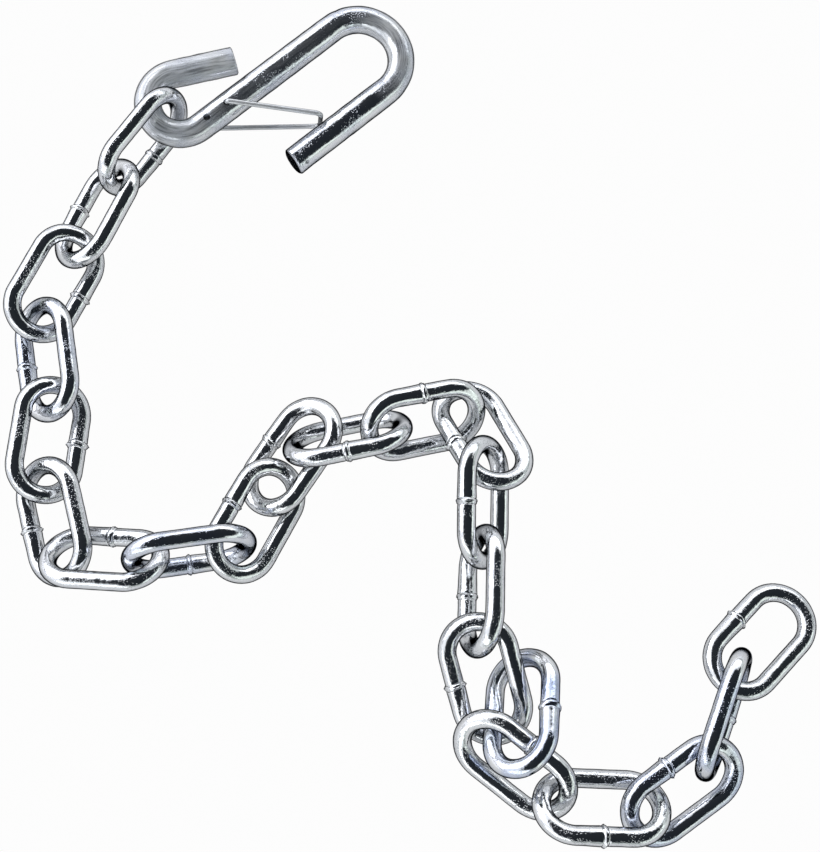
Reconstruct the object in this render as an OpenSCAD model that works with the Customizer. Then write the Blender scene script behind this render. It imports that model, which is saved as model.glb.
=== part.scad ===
// Safety chain hook: an S-hook with a wire latch on the end of a welded oval-link chain.
// The chain lies slack on the floor, z = 0, and the hook lies at its start.

/* [Chain] */
// Diameter of the link wire
wire_d = 5.5; // [5:0.1:5.6]
// Inside length of one link
link_inner_l = 28.5; // [28:0.1:30]
// Inside width of one link
link_inner_w = 12.5; // [12:0.1:13.5]
// Length of the weld collar along the bar
weld_l = 1.8; // [1:0.1:4]
// How far the weld collar stands proud of the wire
weld_proud = 0.3; // [0.1:0.05:0.4]

/* [Hook] */
// Diameter of the hook rod
rod_d = 9; // [8:0.1:9.2]
// Length of the straight shank between the two bends
shank_l = 54; // [50:1:60]
// Centreline radius of the small eye
eye_r = 10; // [9.8:0.1:10.5]
// Angle that the rod turns through round the eye
eye_turn = 205; // [190:1:210]
// Length of the straight leg that closes the eye
eye_leg_l = 20.5; // [12:0.5:24]
// Centreline radius of the big bend
bend_r = 13.5; // [12:0.1:15]
// Length of the tip leg after the big bend
tip_leg_l = 38.5; // [34:0.5:44]
// Length of the chamfer on each sheared end
end_chamfer = 0.6; // [0.2:0.1:1]

/* [Latch] */
// Diameter of the latch wire
latch_d = 1.6; // [1.4:0.1:1.8]
// Distance of the front pivot hole from the eye end of the shank
front_hole_x = 11; // [9:0.5:14]
// Distance of the rear pivot hole from the eye end of the shank
rear_hole_x = 3; // [2:0.5:6]
// Distance of the latch crown from the eye end of the shank
crown_x = 31.5; // [28:0.5:36]
// Radius of the bends at the latch's crown, on the wire's centreline
crown_bend_r = 2; // [1.5:0.1:2.5]
// Radial clearance of the latch wire in its pivot hole
pivot_clearance = 0.08; // [0.05:0.01:0.1]
// Gap between the latch wire and the rod that it lies beside
latch_gap = 0.25; // [0.15:0.05:0.5]
// How far the front end reaches into its hole
pin_depth = 5; // [3:0.5:8]

/* [Hidden] */
$fn = 64;
link_count = 22;

// Place of the hook: where its shank starts, then heading, pitch and roll in degrees
hook_place = [-63.5, 88.5, 9.2];
hook_turn = [40, -1, 8];

// How the slack chain lies. Each row is one link, from the hook to the free end:
// [x, y, z of its middle in mm, heading, pitch, roll in degrees, side of its weld: 1 left, -1 right]
lay = [
    [-81, 82.5, 11.5, -125, 1, -75, 1],
    [-95, 60, 8, -115, 0, 35, -1],
    [-107, 37, 8, -115, 3, -30, 1],
    [-108, 12.5, 8, -80, 0, 35, -1],
    [-106, -12.5, 7.5, -95, 2, -30, 1],
    [-103, -37.5, 7.5, -75, -2, 30, -1],
    [-87, -49, 10, -5, 9, -35, 1],
    [-61.5, -47.5, 13, 10, -11, 75, -1],
    [-43, -37.5, 8.5, 63, -5, 33, 1],
    [-33, -18, 7.5, 55, 8, -22, 1],
    [-16, -13.5, 11.5, 10, 5, -51, -1],
    [6.5, -8, 11.5, 15, -15, 45, 1],
    [24, -12, 9, -63, 14, -20, -1],
    [24, -33, 12, -91, -10, -56, -1],
    [23, -59, 12.5, -92, 8, 65, -1],
    [24, -84, 9, -75, -19, 13, -1],
    [34, -93.5, 12.5, -95, 22, 33, 1],
    [32, -108, 9.5, -38, -3, 40, 1],
    [56, -119.5, 9.5, -2, -6, -30, -1],
    [79, -115, 7.5, 35, 1, 30, 1],
    [91, -94, 11.5, 69, 0, -104, 1],
    [103.5, -73, 6, 45, -11, 0, 1]
];

crown_r = (link_inner_w + wire_d) / 2;
bar_l = link_inner_l + wire_d - 2 * crown_r;
pin_bend_r = latch_gap + latch_d / 2;
crown_y = rod_d / 2 + pin_bend_r - 2 * bend_r;

function link_name(i) = str("link_", i < 10 ? "0" : "", i);

// Sets a child down at a place, rolled about its own length, pitched nose up, then headed
module lie(place, heading, pitch, roll)
    translate(place) rotate([roll, -pitch, heading]) children();

// Straight round bar from the origin along +X
module straight(d, l)
    rotate([0, 90, 0]) cylinder(d = d, h = l);

// Round bar that starts at the origin along +X and turns left through an arc in the XY plane
module left_turn(d, r, angle)
    translate([0, r, 0]) rotate([0, 0, -90]) rotate_extrude(angle = angle) translate([r, 0]) circle(d = d);

// Straight bar whose far end is chamfered, as a cropped and deburred rod is
module cropped_leg(d, l) {
    straight(d, l - end_chamfer);
    translate([l - end_chamfer, 0, 0]) rotate([0, 90, 0])
        cylinder(d1 = d, d2 = d - 2 * end_chamfer, h = end_chamfer);
}

// Small closed eye at the low end of the shank: a half turn, the rest of the turn, and a leg.
// Both later pieces turn about the eye's own centre, so their faces meet exactly.
module hook_eye()
    translate([0, eye_r, 0]) mirror([1, 0, 0]) {
        translate([0, -eye_r, 0]) left_turn(rod_d, eye_r, 180);
        rotate([0, 0, 180]) translate([0, -eye_r, 0]) left_turn(rod_d, eye_r, eye_turn - 180);
        rotate([0, 0, eye_turn]) translate([0, -eye_r, 0]) cropped_leg(rod_d, eye_leg_l);
    }

// Big open bend at the high end of the shank, and the straight leg that ends in the tip
module hook_bend()
    translate([shank_l, 0, 0]) mirror([0, 1, 0]) {
        left_turn(rod_d, bend_r, 180);
        translate([0, 2 * bend_r, 0]) rotate([0, 0, 180]) cropped_leg(rod_d, tip_leg_l);
    }

// Cross hole for one end of the latch wire, right through the rod
module pivot_hole(x)
    translate([x, 0, -rod_d]) cylinder(r = latch_d / 2 + pivot_clearance, h = 2 * rod_d);

// One rod bent into an S, with the two holes that hold the latch
module s_hook()
    color("silver") lie(hook_place, hook_turn[0], hook_turn[1], hook_turn[2])
        difference() {
            union() {
                hook_eye();
                straight(rod_d, shank_l);
                hook_bend();
            }
            pivot_hole(front_hole_x);
            pivot_hole(rear_hole_x);
        }

// Wire that climbs from z = bottom and bends over towards +X, to run on at z = top
module riser(bottom, top, bend) {
    if (top - bend > bottom)
        translate([0, 0, bottom]) cylinder(d = latch_d, h = top - bend - bottom);
    translate([bend, 0, top - bend]) mirror([1, 0, 0]) rotate([90, 0, 0])
        rotate_extrude(angle = 90) translate([bend, 0]) circle(d = latch_d);
}

// Half of the latch: from the middle of its crown over to one leg, along it, and down to z = end_z
module latch_half(hole_x, end_z, leg_z) {
    leg_l = norm([crown_x - hole_x, crown_y]);
    translate([crown_x, crown_y, 0]) rotate([0, 0, atan2(-crown_y, hole_x - crown_x)]) {
        riser(0, leg_z, crown_bend_r);
        translate([crown_bend_r, 0, leg_z]) straight(latch_d, leg_l - crown_bend_r - pin_bend_r);
        translate([leg_l, 0, 0]) mirror([1, 0, 0]) riser(end_z, leg_z, pin_bend_r);
    }
}

// One wire bent into a U. Its front end turns in the front hole, and its rear end
// stops short of the back of the shank, where the rear hole is.
module spring_latch() {
    rod_face = rod_d / 2;
    color("gainsboro") lie(hook_place, hook_turn[0], hook_turn[1], hook_turn[2]) {
        latch_half(front_hole_x, rod_face - pin_depth, rod_face + pin_bend_r);
        mirror([0, 0, 1])
            latch_half(rear_hole_x, rod_face + latch_gap, rod_face + latch_gap + pin_bend_r);
    }
}

// One welded oval link, its length along X, with the weld collar in the middle of one bar
module oval_link(weld_side) {
    for (end = [1, -1])
        rotate([0, 0, 90 - 90 * end]) {
            translate([-bar_l / 2, crown_r, 0]) straight(wire_d, bar_l);
            translate([bar_l / 2, -crown_r, 0]) left_turn(wire_d, crown_r, 180);
        }
    translate([-weld_l / 2, weld_side * crown_r, 0]) straight(wire_d + 2 * weld_proud, weld_l);
}

// Link number i, lying in its place in the slack chain
module chain_link(i) {
    row = lay[i - 1];
    color("lightsteelblue") lie([row[0], row[1], row[2]], row[3], row[4], row[5]) oval_link(row[6]);
}

s_hook();
spring_latch();
for (i = [1:link_count])
    chain_link(i);
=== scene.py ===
"""Looks for a safety chain with its latched S-hook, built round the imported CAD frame.

Every piece is a bent round wire. It is walked as a centreline in its own frame, in millimetres,
swept into a mesh, and then laid where the CAD has that node.
"""

import math
import random

import bmesh
import bpy
import numpy as np
from mathutils import Matrix, Vector, noise


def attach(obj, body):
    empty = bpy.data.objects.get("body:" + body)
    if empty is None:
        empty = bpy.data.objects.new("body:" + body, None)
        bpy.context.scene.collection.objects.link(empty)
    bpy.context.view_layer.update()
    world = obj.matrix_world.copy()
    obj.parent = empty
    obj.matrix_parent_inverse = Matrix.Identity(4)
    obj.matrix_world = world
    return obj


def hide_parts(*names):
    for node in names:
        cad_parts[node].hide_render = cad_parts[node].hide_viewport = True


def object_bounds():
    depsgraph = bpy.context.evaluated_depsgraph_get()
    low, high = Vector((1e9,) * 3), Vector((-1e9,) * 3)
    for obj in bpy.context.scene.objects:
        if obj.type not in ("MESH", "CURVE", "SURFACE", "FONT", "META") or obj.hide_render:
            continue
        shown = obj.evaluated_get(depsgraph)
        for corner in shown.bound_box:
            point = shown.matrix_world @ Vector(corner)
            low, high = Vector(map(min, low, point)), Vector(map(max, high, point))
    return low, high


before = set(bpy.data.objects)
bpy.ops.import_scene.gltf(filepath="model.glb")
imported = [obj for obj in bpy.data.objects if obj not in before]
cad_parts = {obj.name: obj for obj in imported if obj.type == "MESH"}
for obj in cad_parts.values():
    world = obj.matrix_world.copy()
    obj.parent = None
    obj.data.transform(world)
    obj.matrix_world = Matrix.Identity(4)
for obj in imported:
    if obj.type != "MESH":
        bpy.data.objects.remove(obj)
cad_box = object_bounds()

# ---------------------------------------------------------------- driving dimensions, millimetres
MM = 0.001

WIRE_D = 5.5
LINK_INNER_L = 28.5
LINK_INNER_W = 12.5
CROWN_R = (LINK_INNER_W + WIRE_D) / 2
BAR_L = LINK_INNER_L + WIRE_D - 2 * CROWN_R

ROD_D = 9.0
SHANK_L = 54.0
EYE_R = 10.0
EYE_TURN = 205.0
EYE_LEG_L = 20.5
BEND_R = 13.5
TIP_LEG_L = 38.5

LATCH_D = 1.6
FRONT_HOLE_X = 11.0
REAR_HOLE_X = 3.0
HOLE_D = LATCH_D + 0.5
CROWN_X = 31.5
LATCH_CROWN_R = 2.0
LATCH_GAP = 0.25
LATCH_PIN_R = LATCH_GAP + LATCH_D / 2
LATCH_PIN_DEPTH = 5.0

# How blue the plate of some links is, by the link's number
BLUE_LINKS = {4: 0.5, 8: 0.5, 17: 0.9, 20: 0.6, 21: 0.6}
# How pale and matt the plate has gone, as (millimetres walked along the wire, amount)
CLEAR = ((0.0, 0.0), (1.0, 0.0))
LATCH_CLOUDS = ((0.0, 0.75), (1.0, 0.75))
EYE_CLOUDS = ((0.0, 0.95), (50.0, 0.85), (66.0, 0.15))
BEND_CLOUDS = ((116.0, 0.05), (128.0, 0.7), (146.0, 0.6), (158.0, 0.0))

LINK_NAMES = sorted(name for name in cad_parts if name.startswith("link_"))
RING_STEP = 0.9
SHARP_FROM = math.radians(38)
UP = Vector((0, 0, 1))


# ---------------------------------------------------------------- bent wire
class Wire:
    """Centreline of a bent wire, walked from one end in straight runs and round turns."""

    def __init__(self, at, heading, up=UP):
        self.at = Vector(at)
        self.heading = Vector(heading).normalized()
        self.up = Vector(up).normalized()
        self.rings = []
        self.mark()

    def mark(self):
        self.rings.append((self.at.copy(), self.heading.copy(), self.up.copy()))

    def run(self, length, step=RING_STEP):
        count = max(1, round(length / step))
        for _ in range(count):
            self.at = self.at + self.heading * (length / count)
            self.mark()
        return self

    def turn(self, radius, degrees, axis=UP, step=RING_STEP):
        """Turns left about the axis, as seen from its head."""
        axis = Vector(axis).normalized()
        centre = self.at + axis.cross(self.heading) * radius
        count = max(2, round(math.radians(degrees) * radius / step))
        spin = Matrix.Rotation(math.radians(degrees) / count, 3, axis)
        for _ in range(count):
            self.at = centre + spin @ (self.at - centre)
            self.heading = spin @ self.heading
            self.up = spin @ self.up
            self.mark()
        return self

    def backwards(self):
        """The same rings, walked from the other end."""
        return [(at, -heading, up) for at, heading, up in reversed(self.rings)]


def sweep(name, rings, radius, sides, closed=False, cut=0.0, grain=0.0, seed=0):
    """Mesh of a wire whose surface lies radius(s, around) from its centreline.

    s is the distance walked, and around the angle from the inner side of a left turn. cut is how
    far a sheared end leans over, and grain the height of the slow waviness of bent steel.
    """
    lean_l, lean_from = 2.5, 0.7
    at, heading, up = (np.array([ring[k] for ring in rings]) for k in range(3))
    side = np.cross(up, heading)
    s = np.concatenate([[0], np.cumsum(np.linalg.norm(np.diff(at, axis=0), axis=1))])
    around = np.arange(sides) * 2 * math.pi / sides
    out = side[:, None] * np.cos(around)[None, :, None] + up[:, None] * np.sin(around)[None, :, None]
    reach = radius(s[:, None], around[None, :]) * np.ones((len(s), sides))
    if grain:
        skin = at[:, None] + out * reach[..., None]
        offset = Vector((seed * 7.3, seed * 3.1, seed * 5.7))
        for i, j in np.ndindex(reach.shape):
            p = Vector(skin[i, j]) + offset
            reach[i, j] += grain * (noise.noise(p * 0.33) + 0.35 * noise.noise(p * 0.95))
    points = at[:, None] + out * reach[..., None]
    if cut:
        lean = cut * (1 - np.cos(around + lean_from)) / 2
        near_last, near_first = (np.clip(1 - d / lean_l, 0, 1) ** 2 for d in (s[-1] - s, s))
        near = near_last - near_first
        points -= heading[:, None] * (near[:, None] * lean[None, :])[..., None]
    if closed:
        points = points[:-1]
    count = len(points)
    corners = points.reshape(-1, 3).tolist()
    faces = []
    for i in range(count if closed else count - 1):
        low, high = i * sides, (i + 1) % count * sides
        for j in range(sides):
            k = (j + 1) % sides
            faces.append((low + j, low + k, high + k, high + j))
    if not closed:
        for end in (0, count - 1):
            close_end(corners, faces, end * sides, sides, flip=end == 0, seed=seed + end)
    mesh = bpy.data.meshes.new(name)
    mesh.from_pydata(corners, [], faces)
    unroll(mesh, s, sides)
    mesh.transform(Matrix.Scale(MM, 4))
    mesh.validate()
    mesh.shade_smooth()
    mesh.set_sharp_from_angle(angle=SHARP_FROM)
    piece = bpy.data.objects.new(name, mesh)
    bpy.context.scene.collection.objects.link(piece)
    return piece


def unroll(mesh, s, sides):
    """UV map of the wire's side: millimetres walked, and turns round the wire."""
    flat = mesh.uv_layers.new(name="unrolled")
    last_row = len(s) - 1
    for face in mesh.polygons:
        on_side = face.index < last_row * sides
        row, column = divmod(face.index if on_side else min(face.vertices), sides)
        for corner, loop in enumerate(face.loop_indices):
            ahead, beside = corner in (2, 3), corner in (1, 2)
            flat.data[loop].uv = (s[min(row + ahead, last_row)], (column + beside) / sides)


def close_end(corners, faces, first, sides, flip, seed):
    """Closes a sheared end with three smaller rings and a middle point, slightly torn."""
    torn_h = 0.10
    rim = [Vector(corners[first + j]) for j in range(sides)]
    middle = sum(rim, Vector()) / sides
    outward = (rim[0] - middle).cross(rim[sides // 4] - middle).normalized()
    inner = first
    for shrink in (0.72, 0.45, 0.2):
        start = len(corners)
        for p in rim:
            q = middle + (p - middle) * shrink
            q += outward * torn_h * noise.noise(q * 0.8 + Vector((seed, 0, 0)))
            corners.append(tuple(q))
        for j in range(sides):
            k = (j + 1) % sides
            quad = (inner + j, inner + k, start + k, start + j)
            faces.append(quad[::-1] if flip else quad)
        inner = start
    corners.append(tuple(middle))
    for j in range(sides):
        tri = (inner + j, inner + (j + 1) % sides, len(corners) - 1)
        faces.append(tri[::-1] if flip else tri)


def bulge(distance, width):
    """Smooth bump of height 1 that is gone a few widths away."""
    return np.exp(-((distance / width) ** 2))


# ---------------------------------------------------------------- laying a piece on its CAD node
def gauge(mesh):
    """Centre of a mesh's surface and its principal axes, longest first.

    Each axis points to the side that reaches further. Where both sides reach alike, it points
    towards a fixed direction, mostly +X.
    """
    alike, towards = 0.05 * MM, (1.0, 0.4, 0.1)
    mesh.calc_loop_triangles()
    points = np.array([v.co for v in mesh.vertices])
    corners = points[np.array([t.vertices for t in mesh.loop_triangles])]
    normals = np.cross(corners[:, 1] - corners[:, 0], corners[:, 2] - corners[:, 0])
    area = np.linalg.norm(normals, axis=1) / 2
    middle = corners.mean(axis=1)
    centre = (middle * area[:, None]).sum(axis=0) / area.sum()
    arms, middle = corners - centre, middle - centre
    spread = np.einsum("n,nij,nik->jk", area / 12, arms, arms)
    spread += np.einsum("n,nj,nk->jk", area * 9 / 12, middle, middle)
    axes = np.linalg.eigh(spread)[1][:, ::-1].T
    reach = (points - centre) @ axes.T
    lopsided = reach.max(axis=0) + reach.min(axis=0)
    lopsided = np.where(abs(lopsided) < alike, axes @ towards, lopsided)
    axes = axes * np.where(lopsided < 0, -1, 1)[:, None]
    axes[2] = np.cross(axes[0], axes[1])
    return centre, axes


def placing(piece, node):
    """Matrix that carries a piece from its own frame to where the CAD has the node."""
    own_centre, own_axes = gauge(piece.data)
    cad_centre, cad_axes = gauge(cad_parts[node].data)
    turn = Matrix((cad_axes.T @ own_axes).tolist())
    return Matrix.Translation(Vector(cad_centre) - turn @ Vector(own_centre)) @ turn.to_4x4()


def settle(piece, node, matrix, material):
    """Puts a finished piece in place of its CAD node, on that node's body."""
    piece.data.transform(matrix)
    piece.data.materials.append(material)
    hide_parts(node)
    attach(piece, node)


# ---------------------------------------------------------------- chain links
def link_rings():
    """Oval centreline, walked from the weld and back to it, with close rings at the weld."""
    weld_zone, fine = 2.4, 0.12
    wire = Wire((0, CROWN_R, 0), (-1, 0, 0))
    wire.run(weld_zone, fine).run(BAR_L / 2 - weld_zone).turn(CROWN_R, 180)
    wire.run(BAR_L).turn(CROWN_R, 180).run(BAR_L / 2 - weld_zone).run(weld_zone, fine)
    return wire.rings


def link_radius(luck):
    """Radius of one link's wire: sleeve, collar and flash corners at the weld, pressed crowns."""
    sleeve_h = luck.uniform(0.20, 0.34)
    collar_h = luck.uniform(0.16, 0.26)
    collar_half = luck.uniform(0.45, 0.75)
    flash_h = luck.uniform(0.18, 0.34)
    flash_at = luck.uniform(-0.5, 0.5)
    lean = luck.uniform(0.10, 0.28)
    direction = luck.choice((-1, 1))
    length = 2 * BAR_L + 2 * math.pi * CROWN_R

    def radius(s, around):
        t = (s + length / 2) % length - length / 2
        t = t * direction + lean * np.sin(around * 2 + flash_at)
        behind, ahead = np.exp(np.minimum(t, 0)), np.exp(-np.maximum(t, 0) / 3.4)
        sleeve = sleeve_h * np.where(t > 0, ahead, 0.2 * behind)
        collar = collar_h / (1 + np.exp((abs(t) - collar_half) / 0.07))
        flash = flash_h * bulge(t, 0.35) * np.cos(around - flash_at) ** 12
        seam = -0.14 * bulge(abs(t) - collar_half - 0.28, 0.13)
        along = abs(abs(s - length / 2) - (BAR_L + math.pi * CROWN_R) / 2)
        crown = bulge(np.maximum(0, along - 4.0), 3.0)
        pressed = -0.10 * crown * np.maximum(0, np.cos(around)) ** 2
        widened = 0.04 * crown * np.sin(around) ** 2
        return WIRE_D / 2 + sleeve + collar + flash + seam + pressed + widened

    return radius


def build_links():
    """Welded links, each with its own weld, waviness and tint."""
    rings = link_rings()
    for number, node in enumerate(LINK_NAMES, start=1):
        luck = random.Random(number)
        radius = link_radius(luck)
        piece = sweep(f"{node}_wire", rings, radius, 40, closed=True, grain=0.05, seed=number)
        blue = BLUE_LINKS.get(number, luck.uniform(0.0, 0.12))
        material = plated_steel(f"plated_{node}", blue, luck.uniform(0.55, 1.0), number)
        settle(piece, node, placing(piece, node), material)


# ---------------------------------------------------------------- S-hook
def hook_rings():
    """Rod centreline from the eye leg's end to the tip. The shank runs along +X from the origin."""
    fine = 0.25
    end_l = 1.5
    eye = Wire((0, 0, 0), (-1, 0, 0)).turn(EYE_R, EYE_TURN, -UP).run(EYE_LEG_L - end_l).run(end_l, fine)
    big = Wire((0, 0, 0), (1, 0, 0)).run(SHANK_L).turn(BEND_R, 180, -UP, 0.5)
    big.run(TIP_LEG_L - end_l, 0.6).run(end_l, fine)
    return eye.backwards() + big.rings[1:]


def hook_radius():
    """Radius of the rod: chamfered ends, pressed bends and the mark that the bending die left."""
    eye_arc = math.radians(EYE_TURN) * EYE_R
    bend_arc = math.pi * BEND_R
    shank_start = EYE_LEG_L + eye_arc
    bend_start = shank_start + SHANK_L
    total = bend_start + bend_arc + TIP_LEG_L
    eye_middle = EYE_LEG_L + eye_arc / 2
    bend_middle = bend_start + bend_arc / 2

    def radius(s, around):
        from_end = np.minimum(s, total - s)
        chamfer = -0.55 * np.clip(1 - from_end / 0.6, 0, 1) ** 1.6
        eye = bulge(np.maximum(0, abs(s - eye_middle) - eye_arc * 0.4), 5)
        big = bulge(np.maximum(0, abs(s - bend_middle) - bend_arc * 0.4), 5)
        pressed = (eye + big) * (0.06 * np.sin(around) ** 2 - 0.14 * np.cos(around) ** 2)
        front = np.maximum(0, np.sin(around)) ** 0.5
        die_mark = -0.16 * bulge(s - bend_start - 3.2, 0.7) * front
        return ROD_D / 2 + chamfer + pressed + die_mark

    return radius


def drill(piece, at, diameter, flare):
    """Cuts a round hole right through along the piece's Z, with slightly broken edges."""
    half = ROD_D / 2
    outline = [(-half - 1, diameter / 2 + flare), (-half + flare, diameter / 2 + flare * 0.6),
               (-half + 2.5 * flare, diameter / 2), (half - 2.5 * flare, diameter / 2),
               (half - flare, diameter / 2 + flare * 0.6), (half + 1, diameter / 2 + flare)]
    sides = 32
    corners, faces = [], []
    for z, r in outline:
        for j in range(sides):
            a = 2 * math.pi * j / sides
            corners.append(((at + r * math.cos(a)) * MM, r * math.sin(a) * MM, z * MM))
    for i in range(len(outline) - 1):
        for j in range(sides):
            k = (j + 1) % sides
            faces.append((i * sides + j, i * sides + k, (i + 1) * sides + k, (i + 1) * sides + j))
    faces.append(tuple(reversed(range(sides))))
    faces.append(tuple(range(len(corners) - sides, len(corners))))
    mesh = bpy.data.meshes.new("drill")
    mesh.from_pydata(corners, [], faces)
    subtract(piece, mesh)


def pit(piece, at, size):
    """Sinks a small round pit at a point."""
    mesh = bpy.data.meshes.new("pit")
    ball = bmesh.new()
    bmesh.ops.create_icosphere(ball, subdivisions=3, radius=size * MM)
    ball.to_mesh(mesh)
    ball.free()
    mesh.transform(Matrix.Translation(Vector(at) * MM))
    subtract(piece, mesh)


def subtract(piece, mesh):
    """Cuts a closed mesh out of a piece for good."""
    tool = bpy.data.objects.new(mesh.name, mesh)
    bpy.context.scene.collection.objects.link(tool)
    cutting = piece.modifiers.new("cut", "BOOLEAN")
    cutting.operation = "DIFFERENCE"
    cutting.solver = "EXACT"
    cutting.object = tool
    bpy.context.view_layer.update()
    cut = bpy.data.meshes.new_from_object(piece.evaluated_get(bpy.context.evaluated_depsgraph_get()))
    piece.modifiers.clear()
    piece.data = cut
    bpy.data.objects.remove(tool)


def build_hook():
    """Bent rod with two drilled holes and a pit near its tip. Returns where the CAD has the hook."""
    pit_from_tip, pit_off_axis, pit_z = 3.2, 3.6, 3.1
    tip_x, tip_y = SHANK_L - TIP_LEG_L, -2 * BEND_R
    piece = sweep("hook_rod", hook_rings(), hook_radius(), 48, cut=0.45, grain=0.07, seed=31)
    matrix = placing(piece, "s_hook")
    for at in (FRONT_HOLE_X, REAR_HOLE_X):
        drill(piece, at, HOLE_D, 0.12)
    pit(piece, (tip_x + pit_from_tip, tip_y - pit_off_axis, pit_z), 0.75)
    piece.data.set_sharp_from_angle(angle=SHARP_FROM)
    material = plated_steel("plated_hook", 0.30, 1.0, 40, dull=0.03, clouds=EYE_CLOUDS + BEND_CLOUDS)
    settle(piece, "s_hook", matrix, material)
    return matrix


# ---------------------------------------------------------------- latch
def latch_rings():
    """Wire from its front pin, along the front leg, through the crown and back to the rear pin."""
    crown_y = ROD_D / 2 + LATCH_PIN_R - 2 * BEND_R
    front_z = ROD_D / 2 + LATCH_PIN_R
    rear_z = front_z + LATCH_GAP
    crown = Vector((CROWN_X, crown_y, 0))
    front = Vector((FRONT_HOLE_X, 0, 0))
    rear = Vector((REAR_HOLE_X, 0, 0))
    out, back = (crown - front).normalized(), (rear - crown).normalized()
    bends = LATCH_PIN_R + LATCH_CROWN_R
    fine = 0.2
    wire = Wire(front + UP * (ROD_D / 2 - LATCH_PIN_DEPTH), UP, UP.cross(out))
    wire.run(front_z - LATCH_PIN_R - wire.at.z, fine).turn(LATCH_PIN_R, 90, UP.cross(out), fine)
    wire.run((crown - front).length - bends, 0.5).turn(LATCH_CROWN_R, 90, out.cross(-UP), fine)
    wire.run(front_z + rear_z - 2 * LATCH_CROWN_R, fine)
    wire.turn(LATCH_CROWN_R, 90, (-UP).cross(back), fine)
    wire.run((rear - crown).length - bends, 0.5).turn(LATCH_PIN_R, 90, back.cross(UP), fine)
    wire.run(rear_z - LATCH_PIN_R - ROD_D / 2 - LATCH_GAP, fine)
    return wire.rings


def latch_radius(s, around):
    """Drawn wire, slightly flattened along the legs by the forming rolls."""
    return LATCH_D / 2 - 0.04 * np.cos(around) ** 2


def build_latch(matrix):
    """Latch wire, walked in the hook's own frame and so laid with the hook's matrix."""
    piece = sweep("latch_wire", latch_rings(), latch_radius, 24, cut=0.12, grain=0.012, seed=52)
    material = plated_steel("plated_latch", 0.15, 0.6, 60, clouds=LATCH_CLOUDS)
    settle(piece, "spring_latch", matrix, material)


# ---------------------------------------------------------------- materials
def add(tree, kind, settings=(), **inputs):
    """Adds a shader node. Inputs are values, or (node, output) to join. Spaces in names are _."""
    made = tree.nodes.new(kind)
    for key, value in dict(settings).items():
        setattr(made, key, value)
    for key, value in inputs.items():
        socket = made.inputs[key.replace("_", " ")]
        if isinstance(value, tuple) and hasattr(value[0], "outputs"):
            tree.links.new(value[0].outputs[value[1]], socket)
        else:
            socket.default_value = value
    return made


def ramp(tree, source, stops):
    """Colour ramp over a value, as (position, grey) stops."""
    made = add(tree, "ShaderNodeValToRGB", Fac=source)
    while len(made.color_ramp.elements) < len(stops):
        made.color_ramp.elements.new(0.5)
    for element, (position, grey) in zip(made.color_ramp.elements, stops):
        element.position = position
        element.color = (grey, grey, grey, 1)
    return made, "Color"


def mixed(tree, kind, factor, a, b, mode="MIX"):
    """Mix of two colours or two values, each given as a value or as (node, output)."""
    settings = {"data_type": kind}
    if kind == "RGBA":
        settings["blend_type"] = mode
    made = add(tree, "ShaderNodeMix", settings, Factor=factor)
    sockets = [socket for socket in made.inputs if socket.enabled and socket.name in ("A", "B")]
    for socket, value in zip(sockets, (a, b)):
        if isinstance(value, tuple) and hasattr(value[0], "outputs"):
            tree.links.new(value[0].outputs[value[1]], socket)
        else:
            socket.default_value = value
    result = [k for k, socket in enumerate(made.outputs) if socket.enabled][0]
    return made, result


def plate_patterns(tree, seed):
    """Noises that the plate is made from, shifted by the seed, as (node, output) by name."""
    where = add(tree, "ShaderNodeTexCoord")
    offset = (seed * 0.37, seed * 0.11, 0)
    shifted = add(tree, "ShaderNodeMapping", Vector=(where, "Object"), Location=offset)
    place = (shifted, "Vector")
    unrolled = add(tree, "ShaderNodeUVMap", {"uv_map": "unrolled"})
    stretched = add(tree, "ShaderNodeMapping", Vector=(unrolled, "UV"), Scale=(0.12, 42.0, 1))
    patches = add(tree, "ShaderNodeTexNoise", Vector=place, Scale=110.0, Detail=3.0)
    grain = add(tree, "ShaderNodeTexNoise", Vector=place, Scale=1500.0, Detail=4.0, Roughness=0.65)
    wave = add(tree, "ShaderNodeTexNoise", Vector=place, Scale=380.0, Detail=2.0)
    cells = add(tree, "ShaderNodeTexVoronoi", Vector=place, Scale=2100.0, Randomness=1.0)
    lines = add(tree, "ShaderNodeTexNoise", Vector=(stretched, "Vector"), Scale=1.0, Detail=3.0)
    walked = add(tree, "ShaderNodeSeparateXYZ", Vector=(unrolled, "UV"))
    return {"patches": (patches, "Fac"), "grain": (grain, "Fac"), "wave": (wave, "Fac"),
            "cells": (cells, "Distance"), "lines": (lines, "Fac"), "walked": (walked, "X")}


def pit_height(tree, pattern, pitting):
    """Height of the pitted surface: 1 where it is whole, lower in pits, which come in patches."""
    pitted = ramp(tree, pattern["patches"], ((0.46, 0.0), (0.60, pitting)))
    pits = ramp(tree, pattern["cells"], ((0.06, 0.0), (0.36, 1.0)))
    return mixed(tree, "FLOAT", pitted, 1.0, pits)


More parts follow.
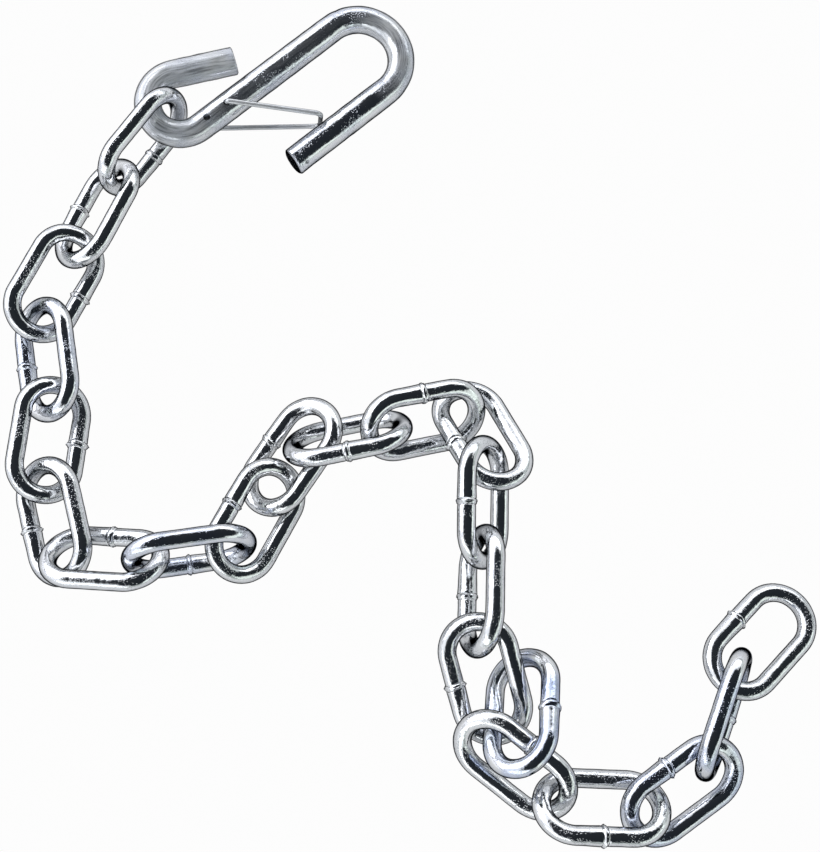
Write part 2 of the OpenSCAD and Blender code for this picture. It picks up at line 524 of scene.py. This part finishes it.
def plate_colour(tree, pattern, height, blue):
    """Pale zinc with blue patches, darker in its pits, and painted shade that darkens its rim where the
    surface turns edge-on.
    """
    pale = (0.82, 0.83, 0.84, 1)
    blued = (0.82 - 0.34 * blue, 0.83 - 0.27 * blue, 0.84 - 0.06 * blue, 1)
    cast = ramp(tree, pattern["patches"], ((0.36, 0.0), (0.66, 1.0)))
    colour = mixed(tree, "RGBA", cast, pale, blued)
    # Darker in the pits: where the height is low the base colour is multiplied down to 0.45.
    pit_darkening = ramp(tree, height, ((0.0, 0.45), (1.0, 1.0)))
    colour = mixed(tree, "RGBA", 1.0, colour, pit_darkening, "MULTIPLY")
    # Painted shade: the base colour is multiplied down towards 0.07 where the surface turns edge-on, a
    # dark outline painted in.
    rim = add(tree, "ShaderNodeLayerWeight", Blend=0.5)
    painted_rim_shade = ramp(tree, (rim, "Facing"), ((0.52, 1.0), (0.68, 0.07)))
    return mixed(tree, "RGBA", 1.0, colour, painted_rim_shade, "MULTIPLY")


def plate_clouds(tree, pattern, clouds):
    """How clouded the plate is: the amounts along the wire, broken up by brush lines."""
    reach = clouds[-1][0]
    portion = add(tree, "ShaderNodeMath", {"operation": "DIVIDE"}, Value=pattern["walked"])
    portion.inputs[1].default_value = reach
    cloud = ramp(tree, (portion, "Value"), tuple((mm / reach, amount) for mm, amount in clouds))
    brushed = ramp(tree, pattern["lines"], ((0.36, 0.35), (0.56, 1.0)))
    return mixed(tree, "RGBA", 1.0, cloud, brushed, "MULTIPLY")


def plate_relief(tree, pattern, height):
    """Bumps from finest to broadest: pits, drawn lines, rubbing and waves left by rolling."""
    pitted = add(tree, "ShaderNodeBump", Strength=0.8, Distance=0.00010, Height=height)
    drawn = add(tree, "ShaderNodeBump", Strength=0.35, Distance=0.00006, Height=pattern["lines"],
                Normal=(pitted, "Normal"))
    rubbed = add(tree, "ShaderNodeBump", Strength=0.18, Distance=0.0001, Height=pattern["grain"],
                 Normal=(drawn, "Normal"))
    rolled = add(tree, "ShaderNodeBump", Strength=0.35, Distance=0.0003, Height=pattern["wave"],
                 Normal=(rubbed, "Normal"))
    return rolled, "Normal"


def plated_steel(name, blue, pitting, seed, dull=0.0, clouds=CLEAR):
    """Bright zinc plate: mirror-like, blue in patches, pitted, drawn along the wire, with painted shade
    along its rim.

    clouds says how far the plate has gone pale and matt, at distances walked along the wire.
    """
    clouded_roughness = (0.22, 0.22, 0.22, 1)
    material = bpy.data.materials.new(name)
    material.use_nodes = True
    tree = material.node_tree
    pattern = plate_patterns(tree, seed)
    height = pit_height(tree, pattern, pitting)
    clouded = plate_clouds(tree, pattern, clouds)
    haze = ramp(tree, pattern["grain"], ((0.35, 0.05 + dull), (0.75, 0.18 + dull)))
    looks = {
        "Base Color": plate_colour(tree, pattern, height, blue),
        "Roughness": mixed(tree, "RGBA", clouded, haze, clouded_roughness),
        "Metallic": mixed(tree, "FLOAT", clouded, 1.0, 0.0),
        "Normal": plate_relief(tree, pattern, height),
    }
    shader = tree.nodes["Principled BSDF"]
    shader.inputs["Specular Tint"].default_value = (0.12, 0.13, 0.15, 1)
    for socket, (node, output) in looks.items():
        tree.links.new(node.outputs[output], shader.inputs[socket])
    return material


def floor_material():
    """Matt white that glows a little, so that it stays pale in the plate's reflections."""
    material = bpy.data.materials.new("floor_paint")
    material.use_nodes = True
    shader = material.node_tree.nodes["Principled BSDF"]
    shader.inputs["Base Color"].default_value = (0.70, 0.70, 0.70, 1)
    shader.inputs["Roughness"].default_value = 0.9
    shader.inputs["Specular IOR Level"].default_value = 0.1
    shader.inputs["Emission Color"].default_value = (1.0, 1.0, 1.0, 1)
    shader.inputs["Emission Strength"].default_value = 0.30
    return material


# ---------------------------------------------------------------- stage
def build_floor():
    """Pale floor under the lay. Only reflections show it, so a link that swings below it is seen."""
    half = 6.0
    level = cad_box[0].z
    corners = [(x * half, y * half, level) for x, y in ((-1, -1), (1, -1), (1, 1), (-1, 1))]
    mesh = bpy.data.meshes.new("floor")
    mesh.from_pydata(corners, [], [(0, 1, 2, 3)])
    floor = bpy.data.objects.new("floor", mesh)
    floor.data.materials.append(floor_material())
    floor.visible_camera = False
    bpy.context.scene.collection.objects.link(floor)


def panel(name, azimuth, elevation, width, height, glow, colour):
    """Soft light panel that faces the chain. Azimuth 0 is towards +Y and 90 towards +X."""
    distance = 1.1
    a, e = math.radians(azimuth), math.radians(elevation)
    place = Vector((math.sin(a) * math.cos(e), math.cos(a) * math.cos(e), math.sin(e))) * distance
    data = bpy.data.lights.new(name, "AREA")
    data.shape = "RECTANGLE"
    data.size = width
    data.size_y = height
    data.color = colour
    data.energy = glow * width * height * math.pi
    lamp = bpy.data.objects.new(name, data)
    lamp.location = place
    lamp.rotation_euler = (-place).to_track_quat("-Z", "Y").to_euler()
    bpy.context.scene.collection.objects.link(lamp)


def build_lights():
    """Four soft panels round the chain: a strong one at the left and three weaker ones."""
    cool, greenish = (0.97, 0.98, 1.0), (0.90, 0.98, 0.93)
    panel("key_panel", -60, 34, 1.5, 0.8, 1.3, cool)
    panel("back_panel", 25, 30, 1.2, 0.5, 0.9, cool)
    panel("fill_panel", 120, 16, 1.4, 0.35, 0.9, greenish)
    panel("front_panel", -150, 20, 1.2, 0.4, 0.9, (0.96, 0.98, 1.0))


def build_room():
    """Pale tent: a dark opening overhead, a dark rail low down, a brighter left side, white below.

    The bright plate shows the opening as the dark band along each wire, and the rail as a line.
    """
    opening_axis = Vector((0.30, -0.22, 0.93)).normalized()
    bright_side = Vector((-0.8, 0.6, 0)).normalized()
    dim_wall, bright_wall = (0.50, 0.56, 0.53, 1), (1.25, 1.27, 1.36, 1)
    in_opening, ground = (0.004, 0.007, 0.012, 1), (0.98, 0.98, 0.98, 1)
    world = bpy.data.worlds.new("room")
    world.use_nodes = True
    tree = world.node_tree
    way = add(tree, "ShaderNodeTexCoord")
    to_opening = add(tree, "ShaderNodeVectorMath", {"operation": "DOT_PRODUCT"})
    to_side = add(tree, "ShaderNodeVectorMath", {"operation": "DOT_PRODUCT"})
    for node, axis in ((to_opening, opening_axis), (to_side, bright_side)):
        tree.links.new(way.outputs["Generated"], node.inputs[0])
        node.inputs[1].default_value = axis
    height = add(tree, "ShaderNodeSeparateXYZ", Vector=(way, "Generated"))
    side = add(tree, "ShaderNodeMapRange", {"clamp": True}, Value=(to_side, "Value"), From_Min=-1.0)
    outside = ramp(tree, (to_opening, "Value"), ((0.53, 1.0), (0.60, 0.02)))
    rail = ramp(tree, (height, "Z"), ((0.11, 1.0), (0.13, 0.15), (0.17, 0.15), (0.19, 1.0)))
    above = ramp(tree, (height, "Z"), ((0.0, 0.0), (0.02, 1.0)))
    wall = mixed(tree, "RGBA", (side, "Result"), dim_wall, bright_wall)
    wall = mixed(tree, "RGBA", outside, in_opening, wall)
    wall = mixed(tree, "RGBA", 1.0, wall, rail, "MULTIPLY")
    glow = mixed(tree, "RGBA", above, ground, wall)
    background = tree.nodes["Background"]
    tree.links.new(glow[0].outputs[glow[1]], background.inputs["Color"])
    background.inputs["Strength"].default_value = 1.0
    bpy.context.scene.world = world


def build_camera():
    """Looks almost straight down at the middle of the lay, leaning a little from the near side."""
    lean_x, lean_y = math.radians(0.91), math.radians(-14.47)
    distance = 0.4587
    off_middle = Vector((2.5, -7.0, 0)) * MM
    low, high = cad_box
    aim = Vector(((low.x + high.x) / 2, (low.y + high.y) / 2, 0)) + off_middle
    sight = Vector((math.tan(lean_x), math.tan(lean_y), 1)).normalized()
    right = (-sight).cross(Vector((0, 1, 0))).normalized()
    over = sight.cross(right)
    camera = bpy.data.objects.new("camera", bpy.data.cameras.new("camera"))
    camera.data.lens = 63.6
    camera.data.clip_start = 0.01
    turn = Matrix((right, over, sight)).transposed().to_4x4()
    camera.matrix_world = Matrix.Translation(aim + sight * distance) @ turn
    bpy.context.scene.collection.objects.link(camera)
    bpy.context.scene.camera = camera
    bpy.context.scene.view_settings.view_transform = "Standard"


build_camera()
build_floor()
build_room()
build_lights()
build_links()
build_latch(build_hook())
